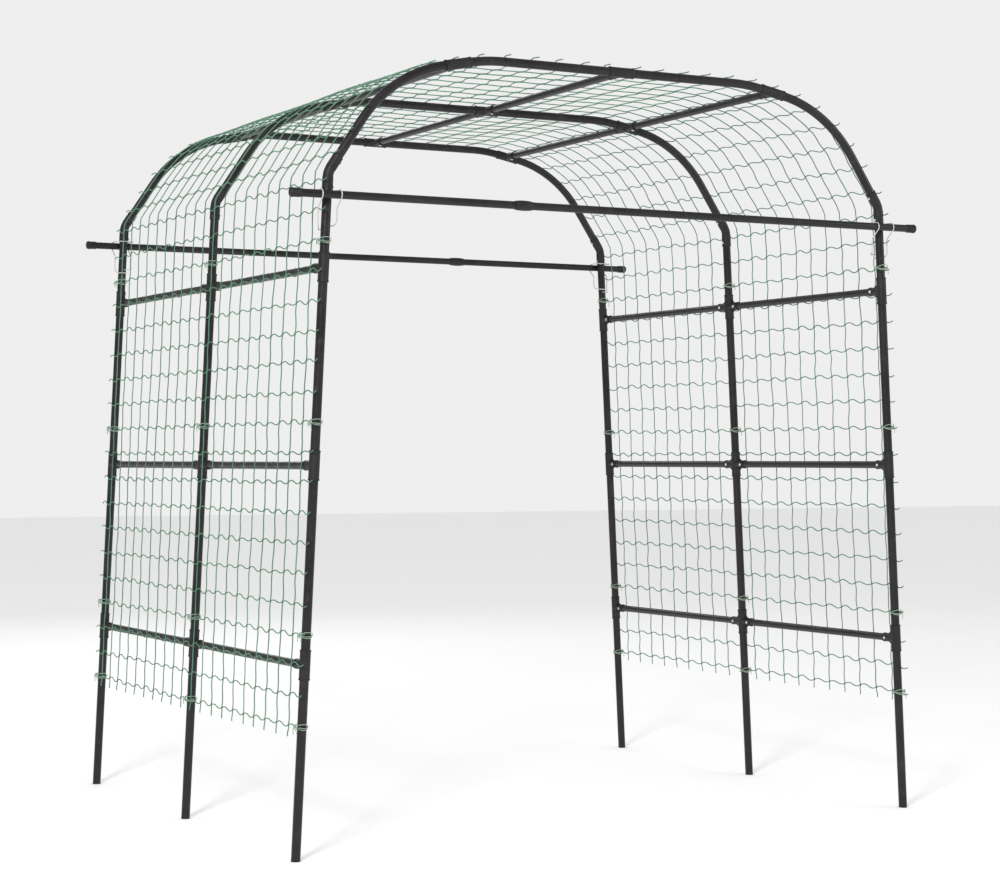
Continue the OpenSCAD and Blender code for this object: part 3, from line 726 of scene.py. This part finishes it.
total = len(LONG_STRANDS)
wall = sum(1 for s in LONG_STRANDS if s < LEG_LENGTH)
shoulder = sum(1 for s in LONG_STRANDS if s < CORNER_LENGTH)
for name, first, after in (("net_right", 0, wall), ("net_shoulder_right", wall, shoulder),
                           ("net_roof", shoulder, total - shoulder),
                           ("net_shoulder_left", total - shoulder, total - wall),
                           ("net_left", total - wall, total)):
    piece = netting(f"{name}_twine", first, after - 1, 0 if after == total else 1)
    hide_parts(name)


# ---------- net ties ----------
# Short pale green twine that lashes a strand of the net to each leg: crossed turns, a knot and two ends.
# One is above each tee and one is on the lowest strand.
TIE_HEIGHTS = (0.3069, 0.5169, 1.0069, 1.4269)
TIE_IN = 0.0121
TIE_OUT = 0.0167
TIE_TILT = math.radians(24)
TIE_TWINE_R = 0.0009
TIE_SECOND_TURN_OUT = 0.0019
TIE_THIRD_TURN_OUT = 0.0010
TIE_END_LENGTH = (0.012, 0.020)
TIE_END_SWAY = 0.003
TIE_KNOT_OUT = TIE_OUT + 0.0024
TIE_KNOT = ((-0.0030, -0.0016), (-0.0012, -0.0004), (0.0012, 0.0004), (0.0030, 0.0016))


def tie_finish():
    made = Finish("tie_twine", Specular_IOR_Level=0.3, Sheen_Weight=0.3)
    tone = made.noise(70, 4)
    wave = made.add("ShaderNodeTexWave", {"bands_direction": "DIAGONAL"},
                    {"Vector": made.place, "Scale": 220, "Distortion": 2.0, "Detail": 1.0}, 1)
    base = made.mixed(tone, (0.24, 0.37, 0.27), (0.38, 0.49, 0.38))
    # Darker diagonal bands along the twist are painted shade of the tie twine's twist, laid over the same
    # bands in its bump.
    twist_painted_shade = made.mixed(wave * 0.5, base, (0.15, 0.25, 0.18))
    return made.show(twist_painted_shade, 0.7 + tone * 0.15, wave, 0.0004)


def tie_turn(curve, place, tilt, swell):
    """One turn of twine round the leg and the strand, from the knot back to the knot."""
    points = []
    count = 28
    reach = (TIE_IN + TIE_OUT) / 2 + swell
    for k in range(count + 1):
        a = 2 * math.pi * k / count
        x = reach * math.cos(a) + (TIE_OUT - TIE_IN) / 2
        y = reach * math.sin(a)
        points.append(place @ Vector((x, y, math.tan(tilt) * y)))
    strand(curve, points)


def tie(curve, place):
    tie_turn(curve, place, TIE_TILT, 0)
    tie_turn(curve, place, -TIE_TILT, TIE_SECOND_TURN_OUT)
    tie_turn(curve, place, TIE_TILT * draw.uniform(0.3, 0.5), TIE_THIRD_TURN_OUT)
    lump = [Vector((TIE_KNOT_OUT, y, z)) for y, z in TIE_KNOT]
    strand(curve, [place @ p for p in lump], [1.0, 2.1, 2.1, 1.0])
    for way in (-1, 1):
        length = draw.uniform(*TIE_END_LENGTH)
        sway = draw.uniform(-TIE_END_SWAY, TIE_END_SWAY)
        end = []
        for t in (0, 0.3, 0.6, 0.85, 1):
            out = TIE_KNOT_OUT + 0.001 - 0.004 * t * t
            end.append(Vector((out, way * (0.002 + 0.5 * length * t), 0.001 - length * t * t + sway * t)))
        strand(curve, [place @ p for p in end], [1, 0.95, 0.9, 0.95, 1.1])


curve = bpy.data.curves.new("net_lashings", "CURVE")
curve.dimensions = "3D"
curve.bevel_depth = TIE_TWINE_R
curve.bevel_resolution = 1
curve.use_fill_caps = True
for y in HOOPS.values():
    for sign in (-1, 1):
        for height in TIE_HEIGHTS:
            x, z, heading = up_hoop(height, 0)
            place = on_hoop((x, y, z), heading)
            tie(curve, place if sign > 0 else Matrix.Scale(-1, 4, (1, 0, 0)) @ place)
lashings = bpy.data.objects.new("net_lashings", curve)
scene.collection.objects.link(lashings)
deselected()
lashings.select_set(True)
bpy.context.view_layer.objects.active = lashings
bpy.ops.object.convert(target="MESH")
lashings = bpy.context.object
bpy.ops.object.shade_smooth()
coat(lashings, tie_finish())
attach(lashings, "frame")
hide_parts("net_ties")


# ---------- floor and light ----------
# A plain pale floor in a pale room that shows dimmer in reflections, and three soft lamps.
ROOM_BRIGHTNESS = 0.86
ROOM_IN_REFLECTIONS = 0.42

deselected()
bpy.ops.mesh.primitive_plane_add(size=60)
floor = bpy.context.object
floor.name = "floor"
plain = Finish("floor")
pale = plain.mixed(plain.noise(2), (0.93, 0.93, 0.93), (0.95, 0.95, 0.95))
coat(floor, plain.show(pale, 0.9, plain.noise(300), 0.0001))

world = bpy.data.worlds.new("room")
world.use_nodes = True
walls = world.node_tree.nodes["Background"]
walls.inputs["Color"].default_value = (1, 1, 1, 1)
ray = world.node_tree.nodes.new("ShaderNodeLightPath")
brightness = world.node_tree.nodes.new("ShaderNodeMapRange")
brightness.inputs["To Min"].default_value = ROOM_BRIGHTNESS
brightness.inputs["To Max"].default_value = ROOM_IN_REFLECTIONS
world.node_tree.links.new(ray.outputs["Is Glossy Ray"], brightness.inputs["Value"])
world.node_tree.links.new(brightness.outputs[0], walls.inputs["Strength"])
scene.world = world
scene.view_settings.view_transform = "Standard"


def lamp(name, place, aim, size, power):
    light = bpy.data.objects.new(name, bpy.data.lights.new(name, "AREA"))
    light.data.size = size
    light.data.energy = power
    light.location = place
    light.rotation_euler = (Vector(aim) - Vector(place)).to_track_quat("-Z", "Y").to_euler()
    scene.collection.objects.link(light)


lamp("key", (-4.5, -5.0, 4.5), (0, 0, 1), 1.0, 270)
lamp("fill", (5.0, -4.0, 3.0), (0, 0, 1), 1.5, 60)
lamp("back", (1.0, 6.0, 4.0), (0, 0, 1.2), 2.0, 50)
